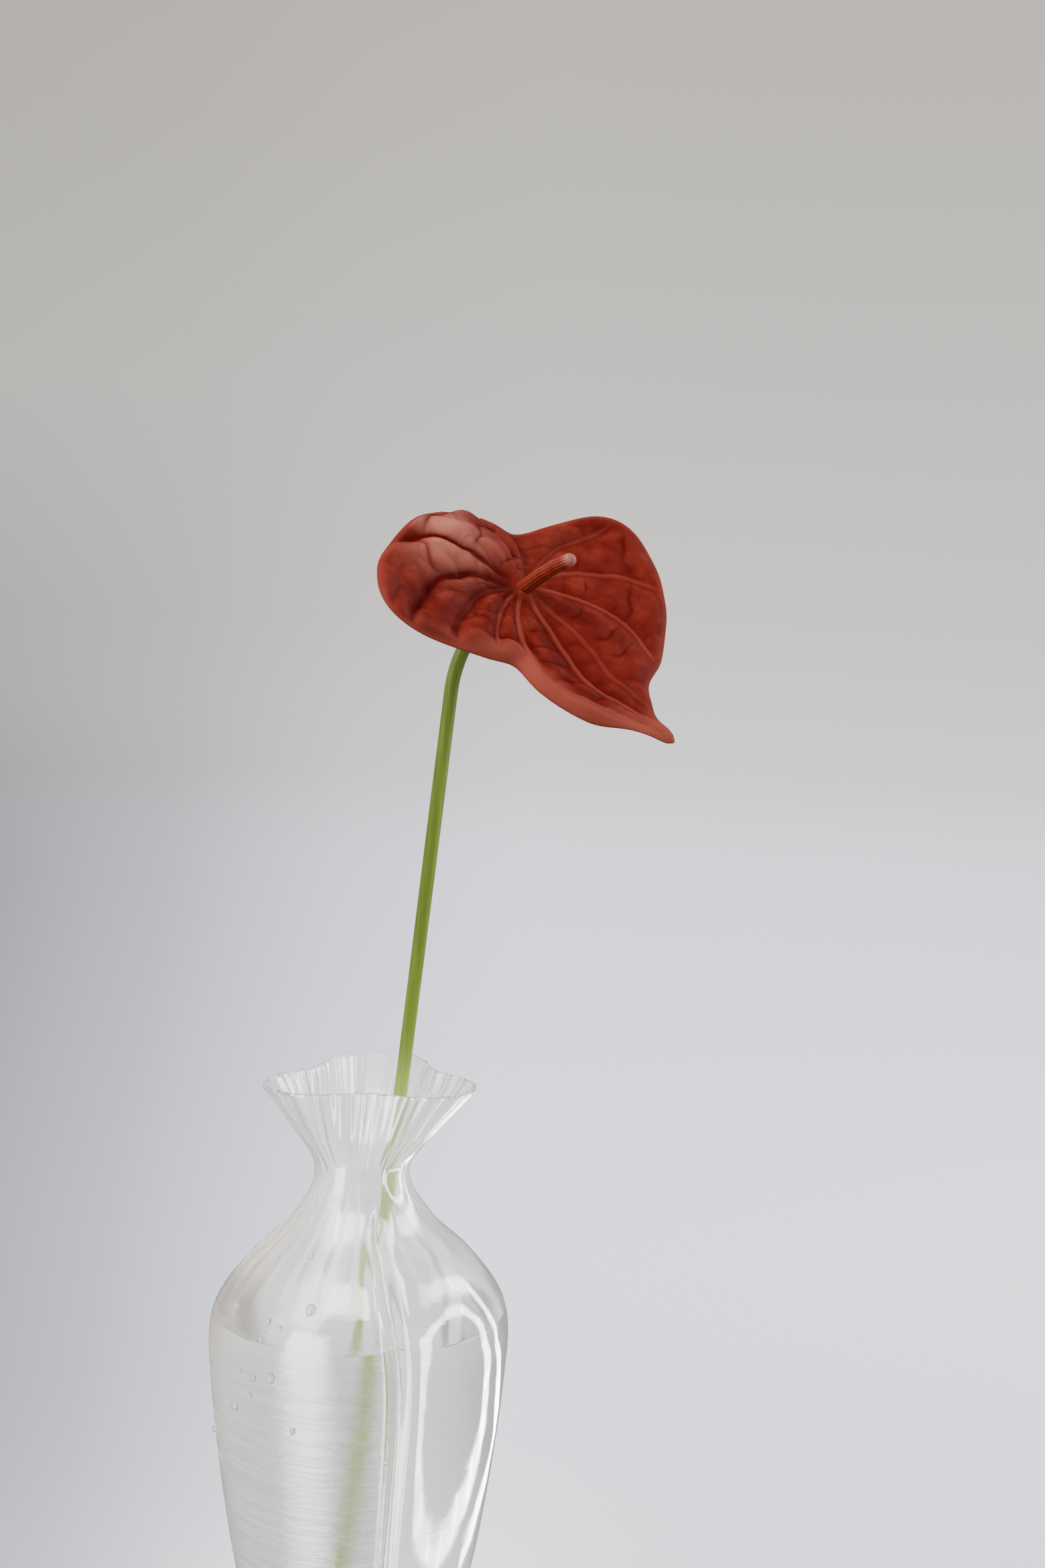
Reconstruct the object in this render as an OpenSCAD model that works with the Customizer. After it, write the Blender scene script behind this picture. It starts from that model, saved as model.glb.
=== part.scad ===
// Three-lobed clear bud vase with a fluted collar, part filled with water,
// holding one cut anthurium that lifts out along its stem and turns on it.
// Millimetres, +Z up, origin at the centre of the foot, front towards -Y.

/* [Vase] */
// Height of the vase from the foot to the rim
vase_h = 228; // [210:1:250]
// Radius over the lobes at the foot
foot_r = 39.5; // [36:0.5:42]
// Radius over the lobes at the widest part of the belly
belly_r = 58.5; // [54:0.5:62]
// Height of the widest part of the belly
belly_z = 120; // [110:1:125]
// Radius over the lobes at the narrowest part of the neck
neck_r = 18.6; // [18:0.1:22]
// Height of the narrowest part of the neck
neck_z = 192; // [188:1:194]
// Radius over the lobes at the rim
rim_r = 44.5; // [40:0.5:48]
// Number of lobes around the vase
lobes = 3; // [3:1:4]
// Depth of the furrow between two lobes of the belly
belly_furrow = 6; // [2:0.5:8]
// Depth of the furrow between two lobes of the rim
rim_furrow = 17; // [8:0.5:18]
// Direction of the front furrow of the belly, from the front towards +X
furrow_turn = 20; // [0:1:40]
// How far the collar is twisted back from the belly
collar_twist = 20; // [0:1:30]
// How far the rim sits off the axis of the foot, towards +X
collar_offset = 3.5; // [0:0.5:5]
// Thickness of the floor
floor_t = 6; // [4:0.5:9]
// Thickness of the wall of the belly
wall_t = 3.4; // [3:0.1:4]
// Thickness of the wall of the neck
neck_wall_t = 2.4; // [2:0.1:2.6]
// Thickness of the wall at the rim
rim_wall_t = 1.6; // [1.2:0.1:2.4]

/* [Water] */
// Height of the water surface above the table
water_z = 136; // [40:1:150]

/* [Flower stem] */
// Diameter of the stem
stem_d = 5.2; // [4:0.1:5.4]
// Lean of the stem from upright, towards +X
stem_lean = 5.8; // [5.6:0.1:5.9]
// Where the line of the stem meets the table, along X
stem_x = -8; // [-9:0.1:-7.8]
// Distance along the stem's line at which its bend starts
bend_s = 380; // [320:5:420]
// Radius of the bend under the flower
bend_r = 51; // [40:1:60]
// Angle of the bend under the flower
bend_angle = 56; // [40:1:65]
// Length of the cut end of the stem that carries the slide
cut_end_l = 15; // [10:1:20]

/* [Flower] */
// Size of the spathe, as a multiple of its size at full growth
spathe_size = 1; // [0.7:0.05:1.1]
// Thickness of the spathe
spathe_t = 1.4; // [1:0.1:2]
// Rise of the back lobes of the spathe above its base
lobe_rise = 9; // [0:1:14]
// Droop of the tip of the spathe below its base
tip_drop = 8; // [0:1:12]
// Length of the spadix
spadix_l = 41; // [30:1:50]
// Diameter of the spadix at its base
spadix_d = 6.2; // [4:0.1:7]
// Diameter of the spadix at its tip
spadix_tip_d = 5; // [3:0.1:6]
// Lean of the spadix towards the tip of the spathe
spadix_lean = 31; // [10:1:45]

/* [Hidden] */
$fn = 64;

// Facets around the vase, and the heights of its rings
ring_n = 72;
shoulder_z = belly_z + 30;
outer_rows = concat(
    [0, 3],
    [for (z = [12 : 12 : belly_z]) z],
    [for (z = [belly_z + 4 : 4 : vase_h - 2]) z],
    [vase_h]
);
inner_rows = concat([floor_t], [for (z = outer_rows) if (z > floor_t + 3) z]);

// Height, radius over the lobes and furrow depth at the bends of the outline
outline = [
    [0, foot_r - 2.5, 2],
    [3, foot_r, 2.2],
    [belly_z * 0.42, foot_r + (belly_r - foot_r) * 0.56, 4],
    [belly_z, belly_r, belly_furrow],
    [belly_z + 20, belly_r - 2, belly_furrow + 2],
    [belly_z + 38, belly_r * 0.745, belly_furrow + 3],
    [belly_z + 52, belly_r * 0.495, belly_furrow],
    [neck_z, neck_r, 2],
    [(neck_z + vase_h) / 2, (neck_r + rim_r) / 2 - 1.5, rim_furrow * 0.42],
    [vase_h, rim_r, rim_furrow],
];

// Free space around the stem in the water, and between the water and the wall
water_bore_gap = 0.6;
water_wall_gap = 0.3;

// The stem is a little thicker in its bend, and its straight length runs just into that
stem_r = stem_d / 2;
bend_swell = 0.1;
bend_overlap = 1;
// The cut end of the stem stands just clear of the floor
stem_s = floor_t + 0.9;

// Base of the flower, at the end of the bend, in the stem's own line and in the frame
bend_end = [bend_r * (1 - cos(bend_angle)), bend_s + bend_r * sin(bend_angle)];
junction = [
    stem_x + bend_end[0] * cos(stem_lean) + bend_end[1] * sin(stem_lean),
    0,
    bend_end[1] * cos(stem_lean) - bend_end[0] * sin(stem_lean),
];

// Turn of the spathe: its X runs to the tip, its Y to the right lobe, its Z out of its face
spathe_turn = [6, 41.5, -51];
spadix_swing = -7;
// Flat disc at the base of the spathe, where the stem and the spadix meet it
hub_r = 6;
// Angle from the tip's direction and distance from the base, around the edge of the spathe
spathe_edge = [
    [-206, 13], [-198, 23], [-186, 30], [-170, 37], [-152, 43], [-132, 49], [-112, 56],
    [-96, 65], [-80, 69], [-62, 57], [-46, 51], [-32, 49], [-20, 60], [-6, 70], [6, 75],
    [14, 84], [17, 83], [20, 69], [26, 61], [40, 59], [56, 57], [72, 58], [90, 60],
    [106, 61], [120, 55], [134, 42], [148, 24],
];
spathe_rings = 7;
edge_steps = 3;

// Value of column c of a table at x, on a smooth curve through its rows
function step_at(table, x, i = 0) =
    i >= len(table) - 2 || x < table[i + 1][0] ? i : step_at(table, x, i + 1);
function slope(table, c, i) =
    let (a = table[max(i - 1, 0)], b = table[min(i + 1, len(table) - 1)])
    (b[c] - a[c]) / (b[0] - a[0]);
function hermite(p, q, m, n, t) =
    (2 * t ^ 3 - 3 * t ^ 2 + 1) * p + (t ^ 3 - 2 * t ^ 2 + t) * m
    + (3 * t ^ 2 - 2 * t ^ 3) * q + (t ^ 3 - t ^ 2) * n;
function smooth(table, c, x) =
    let (
        i = step_at(table, x),
        span = table[i + 1][0] - table[i][0],
        t = (x - table[i][0]) / span
    )
    hermite(
        table[i][c], table[i + 1][c],
        slope(table, c, i) * span, slope(table, c, i + 1) * span, t
    );
function ease(t) = let (u = min(1, max(0, t))) u * u * (3 - 2 * u);

// How narrow the furrows are: tight on the belly, a plain wave at the rim
function sharpness(z) = 4 - 2.9 * ease((z - shoulder_z) / (vase_h - shoulder_z));
// Direction of the first furrow at height z
function furrow_dir(z) =
    furrow_turn
    - collar_twist * 0.75 * ease((z - shoulder_z) / (neck_z - shoulder_z))
    - collar_twist * 0.25 * max(0, (z - neck_z) / (vase_h - neck_z));
function wall_at(z) =
    z < neck_z
        ? wall_t - (wall_t - neck_wall_t) * ease((z - belly_z) / (neck_z - belly_z))
        : neck_wall_t - (neck_wall_t - rim_wall_t) * (z - neck_z) / (vase_h - neck_z);
function vase_radius(z, a) =
    smooth(outline, 1, z)
    - smooth(outline, 2, z)
        * ((1 + cos(lobes * (a - furrow_dir(z)))) / 2) ^ sharpness(z);
// Ring of points at height z, with the surface set in by inset
function ring(z, inset) = [
    for (k = [0 : ring_n - 1])
        let (a = 360 * k / ring_n, r = vase_radius(z, a) - inset)
        [
            r * sin(a) + collar_offset * max(0, (z - neck_z) / (vase_h - neck_z)),
            -r * cos(a),
            z,
        ]
];

// Triangles between rings that are stacked one after another, and a fan that closes a ring
function strip(row, n) = [
    for (k = [0 : n - 1])
        let (a = row * n + k, b = row * n + (k + 1) % n)
        each [[a, b, a + n], [b, b + n, a + n]]
];
function lathe_faces(rows, n) = concat(
    [for (row = [0 : rows - 2]) each strip(row, n)],
    [for (k = [0 : n - 1]) [rows * n, (k + 1) % n, k]],
    [for (k = [0 : n - 1]) [rows * n + 1, (rows - 1) * n + k, (rows - 1) * n + (k + 1) % n]]
);
// Closed solid through a stack of rings, with a point at the middle of each end
module lofted(rings) {
    n = len(rings[0]);
    rows = len(rings);
    mid = function (r) [for (c = [0 : 2]) [for (p = r) p[c]] * [for (p = r) 1] / n];
    points = concat([for (r = rings) each r], [mid(rings[0]), mid(rings[rows - 1])]);
    // Faces run clockwise as seen from outside
    polyhedron(points, [for (f = lathe_faces(rows, n)) [f[2], f[1], f[0]]], convexity = 6);
}

module vase_body() {
    // Up the outside, over the rim, and down the inside to the floor
    outside = [for (z = outer_rows) ring(z, 0)];
    inside = [
        for (i = [len(inner_rows) - 1 : -1 : 0]) ring(inner_rows[i], wall_at(inner_rows[i]))
    ];
    color([0.86, 0.89, 0.88, 0.45]) lofted(concat(outside, inside));
}

module water() {
    // The same heights as the inside of the vase, so that the two surfaces run side by side
    rows = concat(
        [floor_t + water_wall_gap],
        [for (z = inner_rows) if (z > floor_t + 1 && z < water_z - 1) z],
        [water_z]
    );
    color([0.75, 0.85, 0.9, 0.5])
        difference() {
            lofted([for (z = rows) ring(z, wall_at(z) + water_wall_gap)]);
            along_stem(0) cylinder(h = water_z * 1.2, r = stem_r + water_bore_gap);
        }
}

// Moves the origin to a distance s along the straight line of the stem
module along_stem(s) {
    translate([stem_x, 0, 0]) rotate([0, stem_lean, 0]) translate([0, 0, s]) children();
}

// Keeps only what lies behind the face of the spathe
module behind_spathe() {
    difference() {
        children();
        translate(junction) rotate(spathe_turn)
            translate([-30, -30, -spathe_t / 2]) cube([60, 60, 60]);
    }
}

module stem_end() {
    color("yellowgreen") along_stem(stem_s) cylinder(h = cut_end_l, r = stem_r);
}

module flower_stem() {
    start = stem_s + cut_end_l;
    // A little more than the bend, so that the cut face is a full section
    overrun = 8;
    color("yellowgreen")
        behind_spathe() {
            union() {
                along_stem(start) cylinder(h = bend_s - start + bend_overlap, r = stem_r);
                along_stem(bend_s)
                    translate([bend_r, 0, 0]) rotate([90, 0, 0])
                        rotate([0, 0, 180 - bend_angle - overrun])
                            rotate_extrude(angle = bend_angle + overrun)
                                translate([bend_r, 0]) circle(r = stem_r + bend_swell);
            }
        }
}

// Height of the spathe's middle surface at a distance r from its base, in direction a
function spathe_rise(a, r) =
    lobe_rise * (1 - cos(a)) / 2 * (max(0, r - hub_r) / 44) ^ 2
    - tip_drop * (max(0, r - 50) / 35) ^ 2 * exp(-((a - 10) / 25) ^ 2);

module spathe() {
    knots = len(spathe_edge) - 1;
    // The edge, on a smooth curve through its knots
    table = [for (i = [0 : knots]) [i, spathe_edge[i][0], spathe_edge[i][1]]];
    rays = [
        for (i = [0 : knots * edge_steps])
            let (u = i / edge_steps) [smooth(table, 1, u), smooth(table, 2, u)]
    ];
    n = len(rays);
    side = n * spathe_rings + 1;
    half = spathe_t / 2;
    points = [
        for (z = [half, -half])
            each concat([[0, 0, z]], [
                for (i = [0 : spathe_rings - 1], ray = rays)
                    let (
                        a = ray[0],
                        reach = ray[1] * spathe_size,
                        r = hub_r + (reach - hub_r) * i / (spathe_rings - 1)
                    )
                    [r * cos(a), r * sin(a), z + spathe_rise(a, r)]
            ])
    ];
    at = function (i, k) 1 + i * n + k;
    face = concat(
        [for (k = [0 : n - 2]) [0, at(0, k), at(0, k + 1)]],
        [
            for (i = [0 : spathe_rings - 2], k = [0 : n - 2])
                each [
                    [at(i, k), at(i + 1, k), at(i, k + 1)],
                    [at(i + 1, k), at(i + 1, k + 1), at(i, k + 1)],
                ]
        ]
    );
    // The border: out along one side of the slit, round the edge and back to the base
    border = concat(
        [0],
        [for (i = [0 : spathe_rings - 1]) at(i, 0)],
        [for (k = [1 : n - 1]) at(spathe_rings - 1, k)],
        [for (i = [spathe_rings - 2 : -1 : 0]) at(i, n - 1)]
    );
    m = len(border);
    wall = [
        for (k = [0 : m - 1])
            let (a = border[k], b = border[(k + 1) % m])
            each [[a, a + side, b], [b, a + side, b + side]]
    ];
    color("tomato")
        translate(junction) rotate(spathe_turn)
            polyhedron(
                points,
                concat(
                    [for (f = face) [f[2], f[1], f[0]]],
                    [for (f = face) [f[0] + side, f[1] + side, f[2] + side]],
                    [for (f = wall) [f[2], f[1], f[0]]]
                ),
                convexity = 8
            );
}

module spadix() {
    tip_r = spadix_tip_d / 2;
    color("orangered")
        translate(junction) rotate(spathe_turn)
            difference() {
                rotate([-spadix_swing, spadix_lean, 0])
                    union() {
                        translate([0, 0, -6])
                            cylinder(h = spadix_l - tip_r + 6, r1 = spadix_d / 2, r2 = tip_r);
                        translate([0, 0, spadix_l - tip_r]) sphere(r = tip_r);
                    }
                translate([-20, -20, spathe_t / 2 - 20]) cube([40, 40, 20]);
            }
}

vase_body();
water();
stem_end();
flower_stem();
spathe();
spadix();
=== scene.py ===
"""A three-lobed clear bud vase with a fluted collar, water and one anthurium.

Lengths in the shape tables are millimetres, as in the CAD model, and are turned
into metres when a mesh is made.
"""

import math

import bpy
import numpy as np
from mathutils import Euler, Matrix, Vector, noise


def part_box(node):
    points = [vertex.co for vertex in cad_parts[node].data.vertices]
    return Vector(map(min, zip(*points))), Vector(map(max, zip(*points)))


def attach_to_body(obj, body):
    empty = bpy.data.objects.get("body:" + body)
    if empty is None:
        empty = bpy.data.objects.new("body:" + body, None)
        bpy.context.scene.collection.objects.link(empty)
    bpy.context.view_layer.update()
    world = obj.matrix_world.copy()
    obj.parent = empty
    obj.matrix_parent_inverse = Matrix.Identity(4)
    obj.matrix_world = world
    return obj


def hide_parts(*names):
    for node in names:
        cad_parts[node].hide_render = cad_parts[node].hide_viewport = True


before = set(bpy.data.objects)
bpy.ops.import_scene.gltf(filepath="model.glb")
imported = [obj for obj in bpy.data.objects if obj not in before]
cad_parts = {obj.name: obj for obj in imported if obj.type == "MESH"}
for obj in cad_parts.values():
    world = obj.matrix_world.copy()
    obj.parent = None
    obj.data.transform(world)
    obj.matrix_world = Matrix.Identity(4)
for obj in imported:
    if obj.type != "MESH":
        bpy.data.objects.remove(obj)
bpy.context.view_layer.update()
MM = 0.001

# The vase, as in the CAD model
VASE_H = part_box("vase_body")[1].z / MM
BELLY_Z = 120
SHOULDER_Z = 150
NECK_Z = 192
FURROW_TURN = 20
COLLAR_TWIST = 20
COLLAR_OFFSET = 3.5
FLOOR_T = 6
FLOOR_CORNER_R = 6
WALL_T = 3.4
NECK_WALL_T = 2.4
RIM_WALL_T = 1.6
LOBES = 3
FLUTES = 60
FLUTE_DEPTH = 0.75
WATER_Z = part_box("water")[1].z / MM
WATER_GAP = 0.3
GLASS_TINT = (0.90, 0.895, 0.875, 1)
GLASS_IOR = 1.5
WATER_IOR = 1.33
# Height, radius over the lobes and furrow depth
OUTLINE = np.array([
    [0, 37, 2], [3, 39.5, 2.2], [50.4, 50.14, 4], [120, 58.5, 6], [140, 56.5, 8],
    [158, 43.6, 9], [172, 28.96, 6], [192, 18.6, 2], [210, 30.05, 7.14], [228, 44.5, 17],
])
# The stem's straight line and the bend under the flower. The cut end is a piece of its
# own, a hair apart from the rest, and the top stops just short of the spathe's base.
STEM_LEAN = 5.8
STEM_X = -8
STEM_R = 2.6
STEM_START = 6.9
CUT_END = 15
JOINT_GAP = 0.04
HUB_GAP = 2.8
BEND_S = 380
BEND_R = 51
BEND_ANGLE = 56
# The spathe: its edge as angle from the tip's direction and distance from its base
SPATHE_TURN = (6, 41.5, -51)
SPATHE_T = 1.4
HUB_R = 6
LOBE_RISE = 9
TIP_DROP = 8
SPATHE_EDGE = np.array([
    [-206, 13], [-198, 23], [-186, 30], [-170, 37], [-152, 43], [-132, 49], [-112, 56],
    [-96, 65], [-80, 69], [-62, 57], [-46, 51], [-32, 49], [-20, 60], [-6, 70], [6, 75],
    [14, 84], [17, 83], [20, 69], [26, 61], [40, 59], [56, 57], [72, 58], [90, 60],
    [106, 61], [120, 55], [134, 42], [148, 24],
], float)
# The right lobe's inner end, tucked behind the left lobe
SPATHE_TUCK = np.array([[143, 37], [152, 35], [162, 34.5], [172, 37.5], [178, 40]], float)
TIP_REACH = 84
TIP_SWING = 22
SPADIX_L = 41
SPADIX_R = 3.1
SPADIX_TIP_R = 2.5
SPADIX_LEAN = 31
SPADIX_SWING = -7
FLORET_PITCH = 0.95
FLORETS_AROUND = 15
FLORET_DEPTH = 0.15

# The camera: 50 mm lens on 36 mm, place in metres, degrees below level and of roll
CAMERA_PLACE = (0.0585, -0.8272, 0.4303)
CAMERA_DOWN = 6.0
CAMERA_ROLL = 1.57
# Distance of the strips of light from the vase's axis, in metres
STRIP_R = 0.36


# ---------------------------------------------------------------- small helpers

def ease(t):
    """A soft step from 0 to 1 as t goes from 0 to 1."""
    t = np.clip(t, 0, 1)
    return t * t * (3 - 2 * t)


def bump(x, width):
    """1 at nought, falling away on both sides over about the width."""
    return np.exp(-((x / width) ** 2))


def smooth(xs, ys, x):
    """Smooth curve through (xs, ys), with the slope at each point taken from its neighbours."""
    xs, ys, x = (np.asarray(v, float) for v in (xs, ys, x))
    slopes = np.empty(len(xs))
    slopes[1:-1] = (ys[2:] - ys[:-2]) / (xs[2:] - xs[:-2])
    slopes[0] = (ys[1] - ys[0]) / (xs[1] - xs[0])
    slopes[-1] = (ys[-1] - ys[-2]) / (xs[-1] - xs[-2])
    i = np.clip(np.searchsorted(xs, x, side="right") - 1, 0, len(xs) - 2)
    span = xs[i + 1] - xs[i]
    t = (x - xs[i]) / span
    return (
        (2 * t**3 - 3 * t**2 + 1) * ys[i] + (t**3 - 2 * t**2 + t) * slopes[i] * span
        + (3 * t**2 - 2 * t**3) * ys[i + 1] + (t**3 - t**2) * slopes[i + 1] * span
    )


def noise_at(points, scale, seed=0.0):
    """Smooth noise from -1 to 1 at an (n, 3) array of points."""
    shift = Vector((seed, 2.3 * seed, -1.7 * seed))
    return np.array([noise.noise(Vector(p) * scale + shift) for p in points])


def cushion_gap(points, seed):
    """Nought along the seams of an irregular quilt of unit cells, and more inside them."""
    shift = Vector((seed, 2.3 * seed, -1.7 * seed))
    near = [noise.voronoi(Vector(p) + shift)[0] for p in points]
    return np.array([d[1] - d[0] for d in near])


def new_object(name, points, faces, materials, face_slots=None):
    """A mesh object from points in millimetres."""
    mesh = bpy.data.meshes.new(name)
    mesh.from_pydata((np.asarray(points) * MM).tolist(), [], faces)
    for material in materials:
        mesh.materials.append(material)
    if face_slots is not None:
        mesh.polygons.foreach_set("material_index", np.asarray(face_slots, np.int32))
    mesh.polygons.foreach_set("use_smooth", [True] * len(mesh.polygons))
    mesh.update()
    obj = bpy.data.objects.new(name, mesh)
    bpy.context.scene.collection.objects.link(obj)
    return obj


def set_attribute(obj, name, values):
    layer = obj.data.attributes.new(name, "FLOAT", "POINT")
    layer.data.foreach_set("value", np.asarray(values, np.float32))


def lofted(rings):
    """Points and faces of a closed solid through rings (rows, n, 3), capped with fans."""
    rows, n = rings.shape[:2]
    points = np.concatenate([rings.reshape(-1, 3), [rings[0].mean(0), rings[-1].mean(0)]])
    k = np.arange(n)
    nxt = (k + 1) % n
    faces = []
    for row in range(rows - 1):
        a, b = row * n, (row + 1) * n
        faces += np.stack([a + k, a + nxt, b + nxt, b + k], 1).tolist()
    faces += np.stack([np.full(n, rows * n), nxt, k], 1).tolist()
    last = (rows - 1) * n
    faces += np.stack([np.full(n, rows * n + 1), last + k, last + nxt], 1).tolist()
    return points, faces


# ---------------------------------------------------------------- materials

def node_tree(name):
    material = bpy.data.materials.new(name)
    material.use_nodes = True
    nodes, links = material.node_tree.nodes, material.node_tree.links
    return material, nodes, links, nodes["Principled BSDF"]


def attribute(nodes, name):
    """A number kept at each point of the mesh."""
    node = nodes.new("ShaderNodeAttribute")
    node.attribute_name = name
    return node.outputs["Fac"]


def mix_colour(nodes, links, fac, a, b, blend="MIX"):
    """A colour mix; fac, a and b are sockets or plain values."""
    node = nodes.new("ShaderNodeMix")
    node.data_type = "RGBA"
    node.blend_type = blend
    # The factor and the two colours have these places among the node's sockets
    sockets = [node.inputs[0], node.inputs[6], node.inputs[7]]
    for socket, value in zip(sockets, (fac, a, b)):
        if isinstance(value, bpy.types.NodeSocket):
            links.new(value, socket)
        else:
            socket.default_value = value
    return node.outputs[2]


def maths(nodes, links, operation, a, b=0.0):
    """One sum; a and b are sockets or plain values."""
    node = nodes.new("ShaderNodeMath")
    node.operation = operation
    for socket, value in zip(node.inputs, (a, b)):
        if isinstance(value, bpy.types.NodeSocket):
            links.new(value, socket)
        else:
            socket.default_value = value
    return node.outputs[0]


def grey(level):
    return (level, level, level, 1)


def ramp(nodes, links, fac, stops):
    """A colour ramp with stops of (position, colour)."""
    node = nodes.new("ShaderNodeValToRGB")
    links.new(fac, node.inputs[0])
    elements = node.color_ramp.elements
    while len(elements) < len(stops):
        elements.new(0.5)
    for element, (at, colour) in zip(elements, stops):
        element.position = at
        element.color = colour
    return node.outputs[0]


def soft_step(nodes, links, value, start, end, at_start, at_end):
    """A smooth change from one level to another as the value goes from start to end."""
    node = nodes.new("ShaderNodeMapRange")
    node.interpolation_type = "SMOOTHSTEP"
    links.new(value, node.inputs["Value"])
    node.inputs["From Min"].default_value = start
    node.inputs["From Max"].default_value = end
    node.inputs["To Min"].default_value = at_start
    node.inputs["To Max"].default_value = at_end
    return node.outputs["Result"]


def noise_tex(nodes, links, vector, scale, detail=3.0, roughness=0.5):
    node = nodes.new("ShaderNodeTexNoise")
    links.new(vector, node.inputs["Vector"])
    node.inputs["Scale"].default_value = scale
    node.inputs["Detail"].default_value = detail
    node.inputs["Roughness"].default_value = roughness
    return node.outputs[0]


def stretched(nodes, links, scale):
    """Object coordinates scaled by (x, y, z)."""
    coords = nodes.new("ShaderNodeTexCoord")
    mapping = nodes.new("ShaderNodeMapping")
    links.new(coords.outputs["Object"], mapping.inputs["Vector"])
    mapping.inputs["Scale"].default_value = scale
    return mapping.outputs[0]


def add_bump(nodes, links, shader, height, strength, distance):
    node = nodes.new("ShaderNodeBump")
    node.inputs["Strength"].default_value = strength
    node.inputs["Distance"].default_value = distance
    links.new(height, node.inputs["Height"])
    links.new(node.outputs[0], shader.inputs["Normal"])


def let_lamps_through(nodes, links, shader, tint):
    """Shadow rays pass straight through, so that what is inside is lit."""
    path = nodes.new("ShaderNodeLightPath")
    clear = nodes.new("ShaderNodeBsdfTransparent")
    clear.inputs["Color"].default_value = tint
    mix = nodes.new("ShaderNodeMixShader")
    links.new(path.outputs["Is Shadow Ray"], mix.inputs[0])
    links.new(shader.outputs[0], mix.inputs[1])
    links.new(clear.outputs[0], mix.inputs[2])
    links.new(mix.outputs[0], nodes["Material Output"].inputs["Surface"])


def glass_wear(nodes, links, shader, haze, roughness, ripples):
    """Brush lines, comb lines, a faint warm tint and painted shade on the brushed lobe, from the glass's
    own attributes.
    """
    lines = noise_tex(nodes, links, stretched(nodes, links, (7, 7, 800)), 1.0, 5.0, 0.65)
    fibres = noise_tex(nodes, links, stretched(nodes, links, (60, 60, 2400)), 1.0, 2.0, 0.5)
    wobble = noise_tex(nodes, links, stretched(nodes, links, (1, 1, 1)), 45.0, 2.0, 0.5)
    brushed_and_shaded = attribute(nodes, "brushed_and_shaded")
    combed = attribute(nodes, "combed")
    height = maths(nodes, links, "ADD", lines, maths(nodes, links, "MULTIPLY", fibres, 0.5))
    height = maths(nodes, links, "MULTIPLY", height, brushed_and_shaded)
    height = maths(nodes, links, "ADD", height, maths(nodes, links, "MULTIPLY", wobble, 1.2))
    add_bump(nodes, links, shader, height, ripples, 0.0004)
    streaks = ramp(nodes, links, lines, [(0.40, grey(0)), (0.66, grey(1))])
    streaks = maths(nodes, links, "MULTIPLY", streaks, brushed_and_shaded)
    # Painted shade: the brushed lobe is painted greyer, most of all along the lines
    painted_shade = maths(nodes, links, "MULTIPLY", brushed_and_shaded, 0.42)
    painted_shade = maths(nodes, links, "ADD", painted_shade, maths(nodes, links, "MULTIPLY", streaks, 0.58))
    tint = mix_colour(nodes, links, painted_shade, GLASS_TINT, (0.54, 0.53, 0.525, 1))
    tint = mix_colour(nodes, links, combed, tint, (0.80, 0.79, 0.78, 1))
    tint = mix_colour(nodes, links, attribute(nodes, "warm"), tint, (0.90, 0.83, 0.71, 1))
    links.new(tint, shader.inputs["Base Color"])
    milk = maths(nodes, links, "MULTIPLY", streaks, 0.16)
    milk = maths(nodes, links, "ADD", milk, maths(nodes, links, "MULTIPLY", combed, 0.12))
    clear = maths(nodes, links, "SUBTRACT", 1 - haze, milk)
    links.new(clear, shader.inputs["Transmission Weight"])
    dull = maths(nodes, links, "MULTIPLY", streaks, 0.26)
    dull = maths(nodes, links, "ADD", dull, maths(nodes, links, "MULTIPLY", combed, 0.34))
    links.new(maths(nodes, links, "ADD", roughness, dull), shader.inputs["Roughness"])


def glass_material(name, ior, haze, roughness, ripples):
    """Clear glass with a faint haze, and its wear where ripples is not nought."""
    material, nodes, links, shader = node_tree(name)
    shader.inputs["Base Color"].default_value = GLASS_TINT
    shader.inputs["Transmission Weight"].default_value = 1 - haze
    shader.inputs["IOR"].default_value = ior
    shader.inputs["Roughness"].default_value = roughness
    if ripples:
        glass_wear(nodes, links, shader, haze, roughness, ripples)
    let_lamps_through(nodes, links, shader, (0.97, 0.97, 0.96, 1))
    return material


def spathe_material():
    """Waxy red skin, coloured by the same masks that shape it, with painted shade and painted highlight
    among them.
    """
    material, nodes, links, shader = node_tree("spathe_skin")
    coords = stretched(nodes, links, (1, 1, 1))
    mottle = noise_tex(nodes, links, coords, 120.0, 5.0, 0.6)
    fine = noise_tex(nodes, links, coords, 1600.0, 3.0, 0.6)
    body = ramp(nodes, links, mottle, [
        (0.30, (0.140, 0.009, 0.007, 1)),
        (0.52, (0.195, 0.018, 0.011, 1)),
        (0.75, (0.275, 0.037, 0.023, 1)),
    ])
    # Darker in the furrows and the central valley: painted shade. Paler on the dome, the ridges and the
    # rolled margin: painted sheen and highlight. The paler underside is its own colour.
    for mask, colour in (
        ("valley_shade", (0.125, 0.003, 0.002, 1)),
        ("painted_sheen", (0.60, 0.205, 0.145, 1)),
        ("furrow", (0.095, 0.002, 0.001, 1)),
        ("ridge_highlight", (0.42, 0.090, 0.055, 1)),
        ("margin_highlight", (0.35, 0.070, 0.046, 1)),
        ("back", (0.28, 0.070, 0.050, 1)),
    ):
        body = mix_colour(nodes, links, attribute(nodes, mask), body, colour)
    links.new(body, shader.inputs["Base Color"])
    rough = ramp(nodes, links, mottle, [(0.2, grey(0.44)), (0.8, grey(0.56))])
    links.new(rough, shader.inputs["Roughness"])
    shader.inputs["Specular IOR Level"].default_value = 0.04
    shader.inputs["Subsurface Weight"].default_value = 0.1
    shader.inputs["Subsurface Radius"].default_value = (0.003, 0.0008, 0.0005)
    add_bump(nodes, links, shader, fine, 0.35, 0.0002)
    return material


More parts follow.
